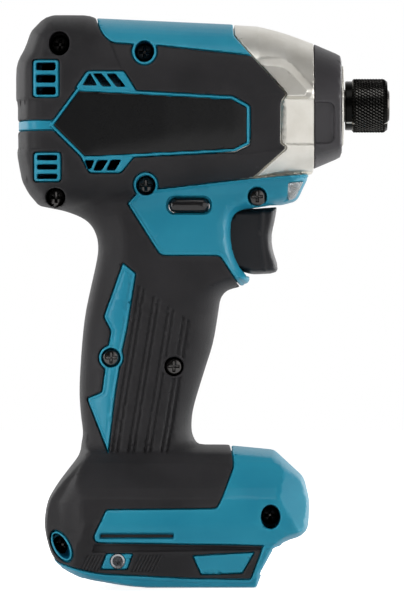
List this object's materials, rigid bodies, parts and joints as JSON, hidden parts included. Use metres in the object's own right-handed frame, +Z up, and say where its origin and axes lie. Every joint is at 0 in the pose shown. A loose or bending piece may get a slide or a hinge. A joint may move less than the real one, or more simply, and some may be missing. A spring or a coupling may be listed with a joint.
{
  "type": "impact driver",
  "caption": "Cordless pistol-grip impact driver with a quick-release hex bit holder, pull trigger, direction lever and a foot that a slide-on battery fits.",
  "frame": {"origin": "on the surface that the foot stands on, under the middle of the tool's length and width", "axes": "+X towards the nose along the spindle, +Y to the tool's left side, +Z up along the grip"},
  "size_m": [0.1262, 0.076, 0.1928],
  "materials": {
    "teal_plastic": "fine moulded texture",
    "soft_grip": "soft moulded elastomer",
    "plate_black": "smooth dark plate",
    "case_metal": "bead-blasted casting",
    "bumper_rubber": "moulded rubber",
    "black_plastic": "satin",
    "black_oxide": "black oxide",
    "steel": "machined",
    "bronze": "sintered",
    "brass": "machined",
    "copper": "enamelled wire",
    "lens": "clear moulding",
    "circuit_board": "laminate",
    "wire_cover": "insulation"
  },
  "bodies": {
    "housing": {"right_housing": "teal_plastic", "left_housing": "teal_plastic", "right_grip": "soft_grip", "left_grip": "soft_grip", "right_plate": "plate_black", "left_plate": "plate_black", "hammer_case": "case_metal", "case_bumper": "bumper_rubber", "bearing_box": "steel", "ring_gear": "steel", "case_o_ring": "bumper_rubber", "anvil_bush": "bronze", "stator_core": "steel", "stator_coils": "copper", "sensor_board": "circuit_board", "rear_bearing": "steel", "front_bearing": "steel", "spindle_bearing": "steel", "trigger_spring": "steel", "switch_body": "black_plastic", "led_lenses": "lens", "led_board": "circuit_board", "control_board": "black_plastic", "motor_leads": "wire_cover", "terminal_block": "black_plastic", "terminal_blades": "brass", "hook_inserts": "steel", "housing_screws": "black_oxide"},
    "rotor": {"rotor_core": "steel", "rotor_magnets": "steel", "rotor_shaft": "steel", "fan": "black_plastic"},
    "spindle": {"spindle": "steel", "planet_pins": "steel", "cam_balls": "steel", "hammer_spring": "steel"},
    "planet_1": {"planet_gear_1": "steel"},
    "planet_2": {"planet_gear_2": "steel"},
    "planet_3": {"planet_gear_3": "steel"},
    "spring_seat": {"spring_washer": "steel", "thrust_balls": "steel"},
    "hammer": {"hammer": "steel"},
    "anvil": {"anvil": "black_oxide", "sleeve_spring": "steel", "sleeve_washer": "steel", "retaining_ring": "steel"},
    "sleeve": {"sleeve": "black_oxide"},
    "bit_ball_top": {"bit_ball_top": "steel"},
    "bit_ball_bottom": {"bit_ball_bottom": "steel"},
    "trigger": {"trigger": "black_plastic", "trigger_plunger": "black_plastic"},
    "direction_lever": {"direction_lever": "black_plastic"}
  },
  "joints": [
    {"name": "spindle_spin", "type": "hinge", "parent": "housing", "child": "spindle", "pos_m": [0, 0, 0.1622], "axis": [1, 0, 0], "continuous": true},
    {"name": "rotor_spin", "type": "hinge", "parent": "housing", "child": "rotor", "pos_m": [0, 0, 0.1622], "axis": [1, 0, 0], "continuous": true},
    {"name": "anvil_spin", "type": "hinge", "parent": "housing", "child": "anvil", "pos_m": [0, 0, 0.1622], "axis": [1, 0, 0], "continuous": true},
    {"name": "planet_1_spin", "type": "hinge", "parent": "spindle", "child": "planet_1", "pos_m": [0, 0, 0.15095], "axis": [1, 0, 0], "continuous": true},
    {"name": "planet_2_spin", "type": "hinge", "parent": "spindle", "child": "planet_2", "pos_m": [0, 0.00974, 0.16783], "axis": [1, 0, 0], "continuous": true},
    {"name": "planet_3_spin", "type": "hinge", "parent": "spindle", "child": "planet_3", "pos_m": [0, -0.00974, 0.16783], "axis": [1, 0, 0], "continuous": true},
    {"name": "hammer_retreat", "type": "slide", "parent": "spindle", "child": "spring_seat", "axis": [-1, 0, 0], "range_m": [0, 0.0052], "stiffness_N_per_m": 9000, "springref_m": -0.005, "deforming": ["hammer_spring"]},
    {"name": "hammer_turn", "type": "hinge", "parent": "spring_seat", "child": "hammer", "pos_m": [0, 0, 0.1622], "axis": [1, 0, 0], "range_deg": [-36, 0]},
    {"name": "sleeve_slide", "type": "slide", "parent": "anvil", "child": "sleeve", "axis": [1, 0, 0], "range_m": [0, 0.003], "stiffness_N_per_m": 1500, "springref_m": -0.002, "deforming": ["sleeve_spring"]},
    {"name": "bit_ball_top_slide", "type": "slide", "parent": "anvil", "child": "bit_ball_top", "axis": [0, 0, 1], "range_m": [0, 0.0007]},
    {"name": "bit_ball_bottom_slide", "type": "slide", "parent": "anvil", "child": "bit_ball_bottom", "axis": [0, 0, -1], "range_m": [0, 0.0007]},
    {"name": "trigger_pull", "type": "slide", "parent": "housing", "child": "trigger", "axis": [-1, 0, 0], "range_m": [0, 0.006], "stiffness_N_per_m": 1200, "springref_m": -0.002, "deforming": ["trigger_spring"]},
    {"name": "direction_slide", "type": "slide", "parent": "housing", "child": "direction_lever", "axis": [0, 1, 0], "range_m": [-0.003, 0.003]}
  ],
  "couplings": [
    {"joint": "rotor_spin", "follows": "spindle_spin", "ratio": 6.6667},
    {"joint": "anvil_spin", "follows": "spindle_spin", "ratio": 1},
    {"joint": "planet_1_spin", "follows": "spindle_spin", "ratio": -2.4286},
    {"joint": "planet_2_spin", "follows": "spindle_spin", "ratio": -2.4286},
    {"joint": "planet_3_spin", "follows": "spindle_spin", "ratio": -2.4286},
    {"joint": "hammer_turn", "follows": "hammer_retreat", "rad_per_m": -117.47},
    {"joint": "bit_ball_top_slide", "follows": "sleeve_slide", "ratio": 0.21667},
    {"joint": "bit_ball_bottom_slide", "follows": "sleeve_slide", "ratio": 0.21667}
  ]
}
